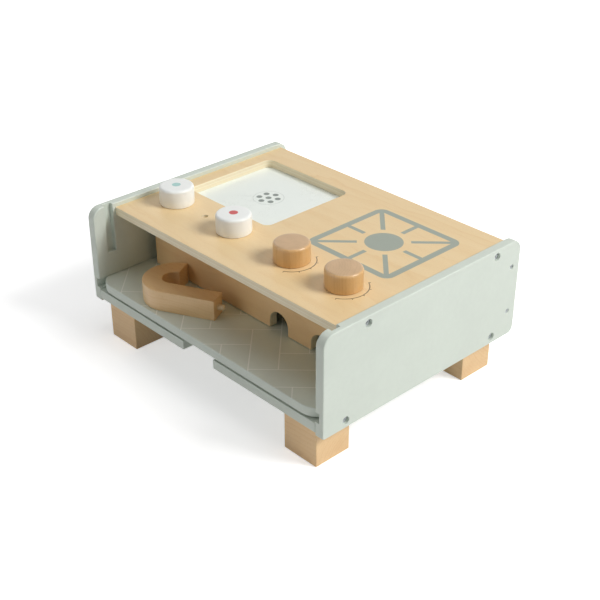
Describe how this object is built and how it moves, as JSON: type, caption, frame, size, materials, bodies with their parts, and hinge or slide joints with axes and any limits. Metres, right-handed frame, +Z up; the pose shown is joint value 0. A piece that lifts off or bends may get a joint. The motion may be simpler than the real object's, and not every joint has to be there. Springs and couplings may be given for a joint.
{
  "type": "toy oven",
  "caption": "Low wooden tabletop toy oven with hob, sink, turning knobs, drop-down door, block feet, and a splashback and tap spout stored in its open rear.",
  "frame": {"origin": "on the floor, at the middle of the object's width and depth", "axes": "+Z up, +X from the sink side to the hob side, +Y from the open storage side to the oven door side"},
  "size_m": [0.345, 0.267, 0.157],
  "materials": {
    "painted_grey": "matt grey-green paint",
    "painted_white": "satin white paint",
    "lacquered_board": "clear matt lacquer",
    "solid_beech": "clear matt lacquer",
    "dowel_wood": "bare",
    "zinc_steel": "zinc plated",
    "clear_pane": "clear"
  },
  "bodies": {
    "carcass": {"side_panel_left": "painted_grey", "side_panel_right": "painted_grey", "worktop": "lacquered_board", "sink_panel": "painted_white", "sink_screws": "zinc_steel", "base_board": "painted_grey", "front_board": "painted_grey", "partition_board": "lacquered_board", "partition_dowels": "dowel_wood", "near_left_foot": "solid_beech", "near_right_foot": "solid_beech", "far_left_foot": "solid_beech", "far_right_foot": "solid_beech", "foot_screws": "zinc_steel", "panel_screws_left": "zinc_steel", "panel_screws_right": "zinc_steel", "front_screws_left": "zinc_steel", "front_screws_right": "zinc_steel", "knob_washers": "zinc_steel", "door_pivot_pins": "zinc_steel", "catch_block": "solid_beech", "catch_magnet": "zinc_steel"},
    "stored_splashback": {"splashback": "painted_grey"},
    "spout": {"tap_spout": "solid_beech", "tap_pin": "dowel_wood"},
    "cold_tap": {"cold_knob": "painted_white", "cold_knob_screw": "zinc_steel"},
    "hot_tap": {"hot_knob": "painted_white", "hot_knob_screw": "zinc_steel"},
    "left_hob": {"left_hob_knob": "solid_beech", "left_hob_knob_screw": "zinc_steel"},
    "right_hob": {"right_hob_knob": "solid_beech", "right_hob_knob_screw": "zinc_steel"},
    "door": {"oven_door": "painted_grey", "door_window": "clear_pane", "door_handle": "solid_beech", "door_handle_screws": "zinc_steel", "strike_plate": "zinc_steel"}
  },
  "joints": [
    {"name": "splashback_slide", "type": "slide", "parent": "carcass", "child": "stored_splashback", "axis": [0, -1, 0], "range_m": [0, 0.2]},
    {"name": "spout_slide", "type": "slide", "parent": "stored_splashback", "child": "spout", "axis": [0, -1, 0], "range_m": [0, 0.03]},
    {"name": "cold_knob_turn", "type": "hinge", "parent": "carcass", "child": "cold_tap", "pos_m": [-0.12755, -0.0525, 0.137], "axis": [0, 0, 1], "continuous": true},
    {"name": "hot_knob_turn", "type": "hinge", "parent": "carcass", "child": "hot_tap", "pos_m": [-0.03705, -0.0525, 0.137], "axis": [0, 0, 1], "continuous": true},
    {"name": "left_hob_knob_turn", "type": "hinge", "parent": "carcass", "child": "left_hob", "pos_m": [0.0467, -0.0525, 0.137], "axis": [0, 0, 1], "continuous": true},
    {"name": "right_hob_knob_turn", "type": "hinge", "parent": "carcass", "child": "right_hob", "pos_m": [0.1153, -0.0525, 0.137], "axis": [0, 0, 1], "continuous": true},
    {"name": "oven_door_hinge", "type": "hinge", "parent": "carcass", "child": "door", "pos_m": [0.081, 0.12175, 0.06975], "axis": [-1, 0, 0], "range_deg": [0, 90]}
  ]
}
